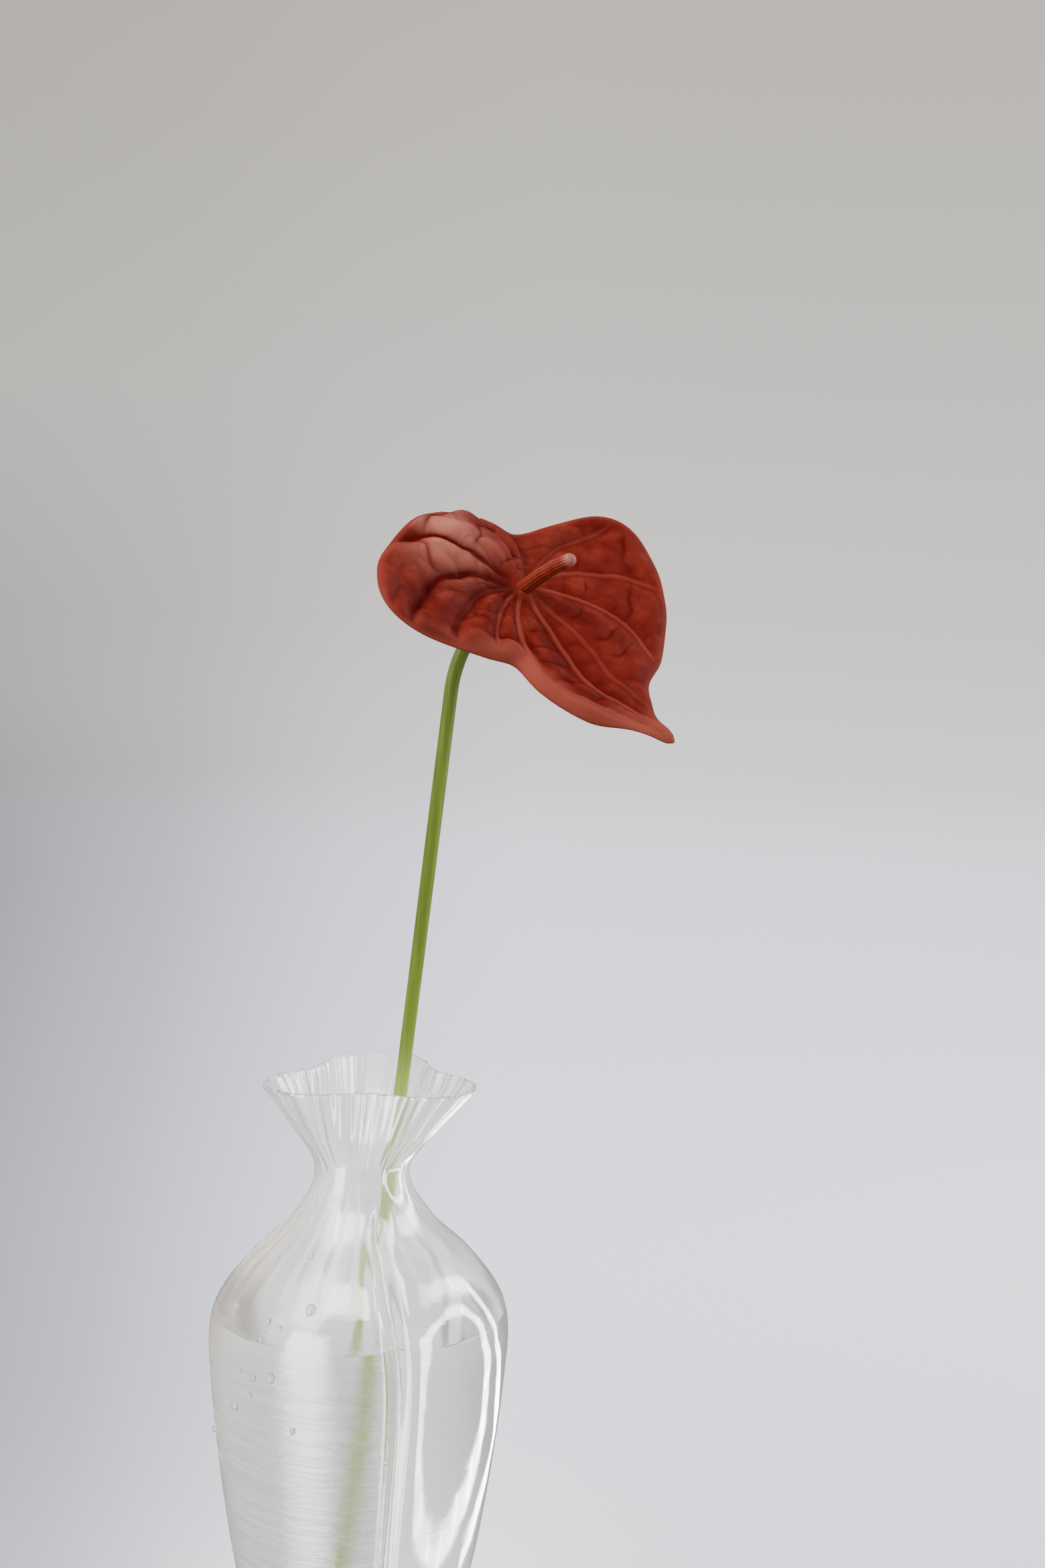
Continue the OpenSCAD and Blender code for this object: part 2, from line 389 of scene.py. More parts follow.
def stem_material():
    """Green skin with fine streaks along it and yellower patches."""
    material, nodes, links, shader = node_tree("stem_skin")
    along = noise_tex(nodes, links, stretched(nodes, links, (700, 700, 14)), 1.0, 3.0, 0.55)
    patches = noise_tex(nodes, links, stretched(nodes, links, (1, 1, 1)), 60.0, 3.0, 0.5)
    colour = ramp(nodes, links, along, [
        (0.30, (0.115, 0.18, 0.013, 1)),
        (0.55, (0.17, 0.275, 0.022, 1)),
        (0.80, (0.26, 0.38, 0.043, 1)),
    ])
    yellow = maths(nodes, links, "MULTIPLY", patches, 0.35)
    colour = mix_colour(nodes, links, yellow, colour, (0.26, 0.25, 0.04, 1))
    links.new(colour, shader.inputs["Base Color"])
    shader.inputs["Roughness"].default_value = 0.42
    shader.inputs["Specular IOR Level"].default_value = 0.35
    shader.inputs["Subsurface Weight"].default_value = 0.15
    shader.inputs["Subsurface Radius"].default_value = (0.0012, 0.0018, 0.0004)
    add_bump(nodes, links, shader, along, 0.25, 0.0002)
    return material


def spadix_material():
    """Mottled red with a paler tip, and painted shade in the pits between the florets."""
    material, nodes, links, shader = node_tree("spadix_skin")
    mottle = noise_tex(nodes, links, stretched(nodes, links, (1, 1, 1)), 320.0, 4.0, 0.6)
    colour = ramp(nodes, links, mottle, [
        (0.30, (0.22, 0.019, 0.009, 1)),
        (0.55, (0.31, 0.038, 0.018, 1)),
        (0.80, (0.43, 0.082, 0.044, 1)),
    ])
    colour = mix_colour(nodes, links, attribute(nodes, "tip"), colour, (0.50, 0.16, 0.10, 1))
    # Painted shade in the pits between the florets
    colour = mix_colour(nodes, links, attribute(nodes, "pit_shade"), colour, (0.09, 0.006, 0.002, 1))
    links.new(colour, shader.inputs["Base Color"])
    shader.inputs["Roughness"].default_value = 0.42
    shader.inputs["Subsurface Weight"].default_value = 0.15
    shader.inputs["Subsurface Radius"].default_value = (0.003, 0.001, 0.0005)
    add_bump(nodes, links, shader, mottle, 0.3, 0.0002)
    return material


def drop_material():
    material, nodes, links, shader = node_tree("drop_water")
    shader.inputs["Base Color"].default_value = (0.84, 0.84, 0.85, 1)
    shader.inputs["Transmission Weight"].default_value = 1
    shader.inputs["IOR"].default_value = WATER_IOR
    shader.inputs["Roughness"].default_value = 0.0
    let_lamps_through(nodes, links, shader, (1, 1, 1, 1))
    return material


# ---------------------------------------------------------------- the vase and the water

def furrow_direction(z):
    """Direction of the front furrow, which twists from the shoulder up to the rim."""
    return (
        FURROW_TURN
        - COLLAR_TWIST * 0.75 * ease((z - SHOULDER_Z) / (NECK_Z - SHOULDER_Z))
        - COLLAR_TWIST * 0.25 * np.maximum(0, (z - NECK_Z) / (VASE_H - NECK_Z))
    )


def wall_at(z):
    """Thickness of the wall at height z."""
    low = WALL_T - (WALL_T - NECK_WALL_T) * ease((z - BELLY_Z) / (NECK_Z - BELLY_Z))
    high = NECK_WALL_T - (NECK_WALL_T - RIM_WALL_T) * (z - NECK_Z) / (VASE_H - NECK_Z)
    return np.where(z < NECK_Z, low, high)


def crease_direction(z):
    """The crease wanders: a little left at the foot and the shoulder, and right at the neck."""
    low = -1.3 * ease((112 - z) / 60)
    return FURROW_TURN + 0.6 + low - 2.0 * ease((z - 118) / 40) + 14 * ease((z - 170) / 22)


def vase_radius(z, a, crease_width=3.3, crease_share=0.75):
    """Outside radius at height z in direction a, degrees from the front towards +X."""
    lobe = smooth(OUTLINE[:, 0], OUTLINE[:, 1], z)
    furrow = smooth(OUTLINE[:, 0], OUTLINE[:, 2], z)
    sharp = 4 - 2.9 * ease((z - SHOULDER_Z) / (VASE_H - SHOULDER_Z))
    wave = (1 + np.cos(np.radians(LOBES * (a - furrow_direction(z))))) / 2
    flare = np.clip((z - NECK_Z + 4) / (VASE_H - NECK_Z + 4), 0, 1) ** 1.3
    # The furrow is part broad dip and part narrow crease
    off_crease = (a - crease_direction(z) + 60) % 120 - 60
    crease = bump(off_crease, np.degrees(crease_width / np.maximum(lobe, 1)))
    crease = crease * (1 - ease((z - 180) / 20))
    broad = wave**sharp
    share = crease_share * (1 - ease((z - 165) / 30))
    furrow_shape = (1 - share) * broad + share * crease
    # Flutes of uneven width and depth, deepest at the rim
    turn = np.radians(FLUTES * a)
    uneven = 0.55 * np.sin(np.radians(7 * a + 40)) + 0.45 * np.sin(np.radians(13 * a))
    flute = np.cos(turn + 1.4 * uneven) * (1 + 0.35 * np.sin(np.radians(11 * a + 70)))
    flute = 0.28 * flute + 0.6 * np.cos(np.radians(27 * a + 20) + 1.1 * uneven)
    return lobe - furrow * furrow_shape + FLUTE_DEPTH * flare * flute


def vase_rings(rows, segments, softness):
    """Rings of points for rows of (height, inset); softness 1 rounds the crease, as on the inside."""
    rows = np.array(rows, float)
    a = np.arange(segments) * 360 / segments
    z, inset = rows[:, :1], rows[:, 1:]
    soft = np.broadcast_to(np.asarray(softness, float), (len(rows),))[:, None]
    grid = np.broadcast_to(z, (len(rows), segments))
    sharp = vase_radius(grid, a)
    rounded = vase_radius(grid, a, 7.0, 0.45)
    r = sharp + (rounded - sharp) * soft - inset
    shift = COLLAR_OFFSET * np.maximum(0, (z - NECK_Z) / (VASE_H - NECK_Z))
    radians = np.radians(a)
    level = np.broadcast_to(z, r.shape)
    return np.stack([r * np.sin(radians) + shift, -r * np.cos(radians), level], 2)


def wear_attributes(obj, points):
    """Where the glass is brushed and painted with shade, combed and tinted warm, by height and bearing
    from the front.
    """
    bearing = np.degrees(np.arctan2(points[:, 0], -points[:, 1]))
    z = points[:, 2]
    # Fine level brush lines and painted shade cover the lobe on the left, and thin out elsewhere
    left_lobe = ease((bearing + 95) / 20) * ease((22 - bearing) / 14)
    set_attribute(obj, "brushed_and_shaded", 0.08 + 0.92 * ease((150 - z) / 24) * left_lobe)
    # A faint warm tint along the far left
    warm_band = ease((z - 60) / 40) * (1 - ease((z - 160) / 30))
    set_attribute(obj, "warm", 0.75 * warm_band * bump(bearing + 82, 26.0))
    # The shoulder is combed from the neck down, and the collar less strongly
    comb = 0.5 + 0.3 * np.sin(np.radians(31 * bearing + 50)) + 0.2 * np.sin(np.radians(53 * bearing))
    shoulder = ease((z - 142) / 16) * (1 - ease((z - 186) / 12))
    collar = ease((z - 188) / 12)
    left = 0.25 + 0.75 * ease((14 - bearing) / 16)
    set_attribute(obj, "combed", shoulder * left * comb + collar * (0.13 + 0.28 * comb))


def make_vase(glass, wet_glass):
    """One closed wall: up the outside, over the lip and down the inside to the floor."""
    segments = 540
    heights = np.concatenate([
        [3, 6],
        np.arange(10, 132, 5),
        np.arange(132, NECK_Z, 2.5),
        np.arange(NECK_Z, VASE_H - 1.5, 1.8),
    ])
    outside = [(0.0, 12), (0.0, 3), (0.0, 0.8), (0.25, 0.2), (0.8, 0)]
    outside += [(z, 0) for z in heights]
    lip = [(VASE_H - 0.6, 0), (VASE_H - 0.15, 0.2), (VASE_H, 0.55)]
    lip += [(VASE_H, RIM_WALL_T - 0.55), (VASE_H - 0.15, RIM_WALL_T - 0.2), (VASE_H - 0.6, RIM_WALL_T)]
    dry = heights[heights > WATER_Z + 1][::-1]
    under_water = heights[(heights < WATER_Z - 1) & (heights > FLOOR_T + 8)][::-1]
    inside_z = np.concatenate([dry, [WATER_Z], under_water])
    inside = [(z, float(wall_at(np.array(z)))) for z in inside_z]
    # A round corner between the wall and the floor
    for t in np.radians(np.arange(15, 91, 15)):
        corner_z = FLOOR_T + FLOOR_CORNER_R * (1 - math.sin(t))
        inside.append((corner_z, WALL_T + FLOOR_CORNER_R * (1 - math.cos(t))))
    inside += [(FLOOR_T, 18), (FLOOR_T, 28)]
    rows = outside + lip + inside
    # The lip's first half has the sharp crease of the outside, its second half the inside's
    half_lip = len(lip) // 2
    softness = [0] * (len(outside) + half_lip) + [1] * (len(inside) + half_lip)
    points, faces = lofted(vase_rings(rows, segments, softness))
    # The inside below the water line bends light as glass against water
    first_wet = len(outside) + len(lip) + len(dry)
    row_of = np.arange(len(faces)) // segments
    wet = (row_of >= first_wet) & (row_of != len(rows) - 1)
    obj = new_object("vase_glass", points, faces, [glass, wet_glass], wet.astype(int))
    wear_attributes(obj, points)
    return obj


def make_water(surface, hidden):
    """The water, a little clear of the glass, with its top curved up where they meet."""
    segments = 240
    floor, wall = FLOOR_T + WATER_GAP, WALL_T + WATER_GAP
    rows = [(floor, 30), (floor, 18)]
    for t in np.radians(np.arange(0, 90, 15)):
        corner_z = floor + FLOOR_CORNER_R * (1 - math.cos(t))
        rows.append((corner_z, wall + FLOOR_CORNER_R * (1 - math.sin(t))))
    rows += [(z, wall) for z in np.arange(FLOOR_T + 8, WATER_Z - 1, 4)]
    first_top = len(rows) - 1
    # Depth below the water line and inset from the glass, over the curve and the flat
    glass_inset = float(wall_at(np.array(WATER_Z)))
    for depth, inset in ((0.1, 0.05), (0.7, 0.8), (1.2, 2.2), (1.4, 4.5)):
        rows.append((WATER_Z - depth, glass_inset + inset))
    rows += [(WATER_Z - 1.4, 30), (WATER_Z - 1.4, 48)]
    points, faces = lofted(vase_rings(rows, segments, 1))
    row_of = np.arange(len(faces)) // segments
    top = (row_of > first_top) & (row_of != len(rows) - 1)
    return new_object("water_fill", points, faces, [hidden, surface], top.astype(int))


# ---------------------------------------------------------------- the stem

def stem_matrix():
    """The stem's own frame, Z along its straight line, in millimetres."""
    return Matrix.Translation((STEM_X, 0, 0)) @ Matrix.Rotation(math.radians(STEM_LEAN), 4, "Y")


def stem_path(s):
    """Point and tangent angle at distance s along the stem, in the stem's own XZ plane."""
    turn = max(0.0, (s - BEND_S) / BEND_R)
    x = BEND_R * (1 - math.cos(turn))
    z = min(s, BEND_S) + BEND_R * math.sin(turn)
    return x, z, turn


def tube(start, end, step, radius, segments=48):
    """Rings of a tube along the stem; radius is a function of (s, angle array)."""
    count = int(round((end - start) / step)) + 1
    a = np.arange(segments) * 2 * math.pi / segments
    rings = []
    for s in np.linspace(start, end, count):
        x, z, turn = stem_path(s)
        r = radius(s, a)
        across = r * np.cos(a)
        ring = [x + across * math.cos(turn), r * np.sin(a), z - across * math.sin(turn)]
        rings.append(np.stack(ring, 1))
    return np.array(rings)


def place(points, matrix):
    """Points carried from a part's own frame into the model's."""
    m = np.array(matrix)
    return points @ m[:3, :3].T + m[:3, 3]


def stem_radius(s, a):
    """Radius at distance s: nine faint ribs, and a slight swelling under the flower."""
    ribs = 0.03 * np.cos(9 * a + 0.01 * s) + 0.04 * math.sin(s / 23)
    swell = 0.12 * ease((s - BEND_S + 20) / 50)
    return STEM_R + 0.06 + ribs + swell


def make_stem(material):
    end = BEND_S + BEND_R * math.radians(BEND_ANGLE) - HUB_GAP
    points, faces = lofted(tube(STEM_START + CUT_END + JOINT_GAP, end, 2.0, stem_radius))
    return new_object("stem", place(points, stem_matrix()), faces, [material])


def cut_radius(s, a):
    """The stem's radius, eased in at the cut."""
    return stem_radius(s, a) - 0.5 * (1 - ease((s - STEM_START) / 0.8))


def make_stem_end(material):
    points, faces = lofted(tube(STEM_START, STEM_START + CUT_END - JOINT_GAP, 0.5, cut_radius))
    return new_object("stem_cut_end", place(points, stem_matrix()), faces, [material])


# ---------------------------------------------------------------- the flower

def flower_matrix():
    """The spathe's frame: X to its tip, Y to its right lobe, Z out of its face."""
    x, z, _ = stem_path(BEND_S + BEND_R * math.radians(BEND_ANGLE))
    junction = stem_matrix() @ Vector((x, 0, z))
    turn = Euler([math.radians(v) for v in SPATHE_TURN], "XYZ").to_matrix().to_4x4()
    return Matrix.Translation(junction) @ turn


# Angles at which veins leave the base of the spathe, for its left and right halves,
# measured round circles through the base and the tip. Each says how deep its furrow
# is and how high the ridge in it stands.
LEFT_VEINS = ((46, 0.6, 0.9), (70, 0.8, 0.8), (98, 1.2, 0.3), (118, 1.3, 0.0), (141, 1.2, 0.0))
RIGHT_VEINS = ((30, 0.3, 0.5), (80, 0.8, 0.9), (115, 0.8, 0.7), (138, 0.9, 0.4))
# Where the margin rolls down: angle, drop, and how far the outline pulls in per unit of drop
ROLL = np.array([
    [-206, 0, 0], [-130, 0, 0], [-105, 0.2, 0], [-80, 0.6, 0], [-62, 1.5, 1.0], [-46, 3.5, 1.35],
    [-20, 4.4, 1.35], [-4, 3.2, 1.2], [8, 1.0, 0.6], [18, 0, 0], [180, 0, 0],
])


def vein_coordinates(x, y):
    """Side, angle at which the vein through a point leaves the base, how far along, and scale."""
    y = y - TIP_SWING * ease((x - 45) / 33)
    to_base = np.hypot(x, y) + 1e-6
    to_tip = np.hypot(TIP_REACH - x, y) + 1e-6
    cosine = (-x * (TIP_REACH - x) + y * y) / (to_base * to_tip)
    angle = 180 - np.degrees(np.arccos(np.clip(cosine, -1, 1)))
    return y, angle, np.log(to_base / to_tip), to_base * to_tip / TIP_REACH


def vein_relief(side, angle, metre, warp, fade):
    """Height of the side veins, their painted furrow shade and painted ridge highlight, the gap to the
    nearest, and which band it is.
    """
    height = np.zeros_like(side)
    furrow = np.zeros_like(side)
    ridge_highlight = np.zeros_like(side)
    nearest = np.full_like(side, 99.0)
    band = np.zeros_like(side)
    for is_side, veins in ((side < 0, LEFT_VEINS), (side >= 0, RIGHT_VEINS)):
        for at, depth, crest in veins:
            gap = (angle + 4.0 * warp - at) * math.pi / 180 * metre
            band += np.where(is_side & (gap > 0), 1.0, 0.0)
            gap = np.where(is_side, np.abs(gap), 99.0)
            nearest = np.minimum(nearest, gap)
            height -= depth * bump(gap, 2.8) * fade
            height += 0.8 * crest * bump(gap, 0.9) * fade
            furrow += 1.0 * depth * bump(gap, 1.9) * (1 - crest * bump(gap, 0.9)) * fade
            ridge_highlight += 0.45 * crest * bump(gap, 0.8) * fade
    return height, furrow, ridge_highlight, nearest, band


def midrib_relief(middle, along, near_base):
    """Height, painted furrow shade and painted ridge highlight of the midrib: a ridge in a broad valley.
    """
    tip_fade = 1 - 0.7 * ease((along - 0.9) / 1.3)
    height = 1.0 * bump(middle, 1.2) - 2.6 * bump(middle, 8.5)
    furrow = 0.45 * bump(middle - 2.4, 1.6)
    ridge_highlight = 0.4 * bump(middle, 0.8)
    return height * near_base * tip_fade, furrow * near_base * tip_fade, ridge_highlight * near_base


def margin_relief(edge_gap, a, near_base):
    """Height, painted furrow shade and painted highlight mask of the margin: a soft rim, rolled down
    along the lower left side.
    """
    drop = smooth(ROLL[:, 0], ROLL[:, 1], a)
    rolled = np.clip(drop / 3.5, 0, 1)
    turn = np.clip(1 - edge_gap / 4.2, 0, 1)
    wave = np.sin(np.radians(a * 7)) * 0.5 + np.sin(np.radians(a * 13 + 40)) * 0.35
    height = -np.maximum(drop, 0) * (1 - np.sqrt(1 - 0.98 * turn * turn))
    height += 0.9 * rolled * bump(edge_gap - 5.5, 2.2) - 0.35 * (1 - rolled) * bump(edge_gap, 2.2)
    height += wave * bump(edge_gap, 6.0) * near_base * (1 - 0.8 * rolled)
    furrow = 0.35 * rolled * bump(edge_gap - 9.5, 2.0)
    mask = bump(edge_gap, 1.6) * 0.4 + rolled * bump(np.maximum(edge_gap - 3, 0), 2.6)
    return height, furrow, mask


def spathe_relief(x, y, r, edge_gap, a):
    """Height over the CAD surface, and the masks of painted shade in the furrows and the central valley,
    and of painted sheen and highlight on the dome, the ridges and the margin.
    """
    side, angle, along, metre = vein_coordinates(x, y)
    points = np.stack([x, y, np.zeros_like(x)], 1)
    warp = noise_at(points, 0.05, 3.0)
    coarse = noise_at(points, 0.13, 9.0)
    fine = noise_at(points, 0.40, 5.0)
    near_base = ease((r - 2) / 10)
    # The wrinkles of the left lobe run on almost to its edge
    outer_left = ease((-a - 48) / 20)
    inner = ease((edge_gap - 0.6 + 0.4 * outer_left) / (6 - 3.2 * outer_left))
    fade = near_base * inner
    height, furrow, ridge_highlight, nearest, band = vein_relief(side, angle, metre, warp, fade)
    middle = np.abs(angle) * math.pi / 180 * metre
    rib_height, rib_furrow, rib_ridge = midrib_relief(middle, along, near_base)
    height += rib_height
    furrow += rib_furrow
    ridge_highlight += rib_ridge
    # Quilting: long cushions between the veins, parted by soft wrinkles across them
    cell = 1 - bump(np.minimum(nearest, middle), 4.5)
    left_shift = np.where(side < 0, 0.3, 0.0)
    phase = 4.2 * along + 0.43 * band + left_shift + 1.3 * warp + 0.35 * coarse
    across = np.abs(np.sin(phase * math.pi / 2))
    cushion = (1.5 + 0.9 * (side < 0)) * cell * (0.45 + 0.55 * across**0.7)
    height += (cushion + 0.55 * coarse + 0.14 * fine) * fade
    furrow += 0.75 * bump(across, 0.24) * cell * fade + 0.2 * np.maximum(0, -coarse) * inner
    ridge_highlight += 0.18 * np.maximum(0, coarse) * cell * inner
    # Crumpled cushions that fan out from the base, most marked on the left lobe
    fan = [r / 13 + 0.35 * coarse, np.radians(a) * 3.3 + 0.35 * warp, np.zeros_like(x)]
    seam_gap = cushion_gap(np.stack(fan, 1), 4.0)
    much = (0.3 + 0.7 * (side < 0) * ease(angle / 25)) * near_base * ease((r - 8) / 12)
    much = much * ease((edge_gap - 0.5) / (4 - 2 * outer_left))
    height += 1.3 * (1 - bump(seam_gap, 0.40)) * much
    furrow += 0.45 * bump(seam_gap, 0.09) * much * (0.6 + 0.4 * warp)
    rim_height, rim_furrow, margin_highlight = margin_relief(edge_gap, a, near_base)
    height += rim_height
    furrow += rim_furrow
    # The tip is painted paler too: painted highlight
    margin_highlight = np.clip(margin_highlight + 0.8 * ease((x - 60) / 16), 0, 1)
    # The left lobe stands up in a dome, and the base sinks a little round the spadix
    height += 5.0 * bump(np.hypot(x + 20, y + 27), 20.0) * ease(edge_gap / 14)
    height -= 0.6 * bump(r, 6.0)
    # The tip turns up at its very end
    height += 5.0 * ease((x - 66) / 16)
    # Painted sheen, paler where the left lobe's dome stands high, and painted shade, darker red down in
    # the low central valley
    painted_sheen = 0.95 * bump(np.hypot(x + 24, y + 28), 19.0) * ease((height + 0.5) / 5.0) * inner
    valley_shade = 0.8 * bump(np.hypot(x - 34, (y + 4) * 1.2), 21.0) * (1 - ease((height - 0.2) / 1.6))
    return height, np.clip(furrow, 0, 1), np.clip(ridge_highlight, 0, 0.8), margin_highlight, painted_sheen, valley_shade


def spathe_rise(a, r):
    """Height of the CAD surface: lobes that rise away from the tip, and a tip that droops."""
    a_wave = (1 - np.cos(np.radians(a))) / 2
    rise = LOBE_RISE * a_wave * (np.maximum(0, r - HUB_R) / 44) ** 2
    rise = rise - TIP_DROP * (np.maximum(0, r - 50) / 35) ** 2 * bump(a - 10, 25)
    # The right lobe's inner end passes behind the left lobe
    behind = ease((a - 132) / 26) * ease((r - 4) / 22)
    return rise - 5.5 * behind


def grid_normals(grid):
    """Unit normals of a (rings, rays, 3) grid, out of the spathe's face."""
    cross = np.cross(np.gradient(grid, axis=0), np.gradient(grid, axis=1))
    return cross / np.maximum(np.linalg.norm(cross, axis=2, keepdims=True), 1e-9)


def spathe_grid(rays, rings):
    """Radius, direction and gap to the edge at each point of the leaf, as (rings, rays) grids."""
    edge = np.concatenate([SPATHE_EDGE[:-1], SPATHE_TUCK])
    knots = np.arange(len(edge))
    u = np.linspace(0, len(edge) - 1, rays)
    ray_angle = smooth(knots, edge[:, 0], u)
    reach = smooth(knots, edge[:, 1], u)
    reach = reach - np.maximum(smooth(ROLL[:, 0], ROLL[:, 1] * ROLL[:, 2], ray_angle), 0)
    t = np.linspace(0, 1, rings) ** 0.85
    r = 0.4 + (reach[None, :] - 0.4) * t[:, None]
    # The gap is measured square to the edge, and to the slit between the two lobes
    slope = np.gradient(reach) / (np.gradient(np.radians(ray_angle)) * reach)
    edge_gap = (reach - r) / np.sqrt(1 + slope**2)
    slit_gap = np.minimum(
        r * np.sin(np.radians(np.clip(ray_angle - ray_angle[0], 0, 90))),
        r * np.sin(np.radians(np.clip(ray_angle[-1] - ray_angle, 0, 90))),
    )
    return r, np.broadcast_to(ray_angle, r.shape), np.minimum(edge_gap, slit_gap + 2)


def sheet_faces(rays, rings):
    """Faces of a closed sheet: its top, its underside, a fan round each hub, and the border."""
    side = rays * rings
    top_hub, under_hub = 2 * side, 2 * side + 1
    k = np.arange(rays - 1)
    faces = []
    for i in range(rings - 1):
        b = i * rays + k
        faces += np.stack([b, b + rays, b + rays + 1, b + 1], 1).tolist()
        faces += (np.stack([b + 1, b + rays + 1, b + rays, b], 1) + side).tolist()
    faces += np.stack([np.full(rays - 1, top_hub), k, k + 1], 1).tolist()
    faces += np.stack([np.full(rays - 1, under_hub), k + 1 + side, k + side], 1).tolist()
    border = [i * rays for i in range(rings)]
    border += [(rings - 1) * rays + j for j in range(1, rays)]
    border += [i * rays + rays - 1 for i in range(rings - 2, -1, -1)]
    for p, q in zip(border, border[1:]):
        faces.append([q, p, p + side, q + side])
    faces.append([border[0], top_hub, under_hub, border[0] + side])
    faces.append([top_hub, border[-1], border[-1] + side, under_hub])
    return faces


def make_spathe(material):
    """The leaf: one closed sheet whose top and underside follow the same relief."""
    rays, rings = 540, 88
    r, a, edge_gap = (grid.ravel() for grid in spathe_grid(rays, rings))
    x, y = r * np.cos(np.radians(a)), r * np.sin(np.radians(a))
    height, furrow, ridge_highlight, margin_highlight, painted_sheen, valley_shade = spathe_relief(x, y, r, edge_gap, a)
    z = spathe_rise(a, r) + height
    middle = np.stack([x, y, z], 1)
    normals = grid_normals(middle.reshape(rings, rays, 3)).reshape(-1, 3)
    half = (SPATHE_T * (0.3 + 0.7 * ease(edge_gap / 2.5)) / 2)[:, None]
    hub = np.array([0, 0, float(z[:rays].mean())])
    lift = np.array([0, 0, SPATHE_T / 2])
    top, under = middle + normals * half, middle - normals * half
    points = np.concatenate([top, under, [hub + lift, hub - lift]])
    obj = new_object("spathe_leaf", place(points, flower_matrix()), sheet_faces(rays, rings), [material])
    # Each mask on the top, its share on the underside, and nought at the two hubs
    for name, mask, under_share in (
        ("furrow", furrow, 0.3),
        ("ridge_highlight", ridge_highlight, 0.3),
        ("margin_highlight", margin_highlight, 1),
        ("painted_sheen", painted_sheen, 0),
        ("valley_shade", valley_shade, 0),
    ):
        set_attribute(obj, name, np.concatenate([mask, mask * under_share, [0.0, 0.0]]))
    side = rays * rings
    set_attribute(obj, "back", np.concatenate([np.zeros(side), np.ones(side), [0.0, 1.0]]))
    return obj


def spadix_row(share):
    """Distance along the spadix, and how wide its round end is there, at a share of the rows."""
    start, straight_share = -1.0, 0.86
    straight_end = SPADIX_L - SPADIX_TIP_R
    if share < straight_share:
        return start + (straight_end - start) * share / straight_share, 1.0
    t = (share - straight_share) / (1 - straight_share) * math.pi / 2
    return straight_end + SPADIX_TIP_R * math.sin(t), max(math.cos(t), 0.03)


def make_spadix(material):
    """A blunt rod covered with closely packed florets, in the spathe's frame."""
    segments, rows = 160, 260
    a = np.arange(segments) * 2 * math.pi / segments
    rings, tips, pit_shade = [], [], []
    for i in range(rows):
        s, cap = spadix_row(i / (rows - 1))
        share = min(1, max(0, s / SPADIX_L))
        r = (SPADIX_R + (SPADIX_TIP_R - SPADIX_R) * share) * cap
        row = s / (FLORET_PITCH * 0.87)
        floret = np.cos(FLORETS_AROUND * a + math.pi * row) * math.cos(math.pi * row)
        r_row = r - 0.12 + FLORET_DEPTH * cap * floret
        sag = 0.9 * math.sin(math.pi * share)
        rings.append(np.stack([r_row * np.cos(a) - sag, r_row * np.sin(a), np.full(segments, s)], 1))
        tips.append(np.full(segments, float(ease((s - SPADIX_L + 6) / 5))))
        # Painted shade, darkest in the hollows between florets
        pit_shade.append(np.clip(0.5 - floret, 0, 1) * 0.35)
    points, faces = lofted(np.array(rings))
    lean = Matrix.Rotation(math.radians(SPADIX_LEAN), 4, "Y")
    swing = Matrix.Rotation(math.radians(-SPADIX_SWING), 4, "X")
    obj = new_object("spadix_rod", place(points, flower_matrix() @ lean @ swing), faces, [material])
    set_attribute(obj, "tip", np.concatenate([*tips, [0.0, 1.0]]))
    set_attribute(obj, "pit_shade", np.concatenate([*pit_shade, [0.0, 0.0]]))
    return obj


# ---------------------------------------------------------------- drops on the glass

# How far a drop stands out, as a share of its radius
DROP_HEIGHT = 0.95
# Direction from the front, height and radius of each drop
DROPS = (
    (-55, 146, 1.4), (-17, 151, 2.1), (-27, 166, 1.4), (-34, 145, 1.2), (-44, 125, 1.1),
    (-37, 124, 1.3), (-29, 126, 1.9), (-39, 117, 1.0), (-48, 110, 1.9), (-20, 107, 1.2),
    (-79, 89, 1.3), (-28, 144, 0.9), (-35, 139, 1.0),
)


def make_drops(material):
    """Slightly flattened beads on the outside of the glass, as one mesh."""
    points, faces = [], []
    rows, segments = 7, 20
    for a, z, size in DROPS:
        r = float(vase_radius(np.array(z), np.array(a)))
        near = float(vase_radius(np.array(z + 1.0), np.array(a)))
        radians = math.radians(a)
        out = Vector((math.sin(radians), -math.cos(radians), 0))
        up = (Vector((0, 0, 1)) + out * (near - r)).normalized()
        normal = (out - Vector((0, 0, 1)) * (near - r)).normalized()
        side = up.cross(normal)
        centre = out * r + Vector((0, 0, z))
        base = len(points)
        for i in range(rows):
            t = math.pi * (i + 0.5) / rows
            for k in range(segments):
                b = 2 * math.pi * k / segments
                # A drop hangs, so it is longer below than above
                droop = 1.25 if math.sin(b) < 0 else 1.0
                p = centre + side * (size * math.sin(t) * math.cos(b))
                p += up * (size * droop * math.sin(t) * math.sin(b))
                p += normal * (size * DROP_HEIGHT * math.cos(t))
                points.append(tuple(p))
        for i in range(rows - 1):
            for k in range(segments):
                q = base + i * segments
                nxt = (k + 1) % segments
                faces.append([q + k, q + segments + k, q + segments + nxt, q + nxt])
        faces.append([base + k for k in range(segments)])
        faces.append([base + (rows - 1) * segments + k for k in reversed(range(segments))])
    return new_object("drops", points, faces, [material])


# ---------------------------------------------------------------- stage, lights and camera

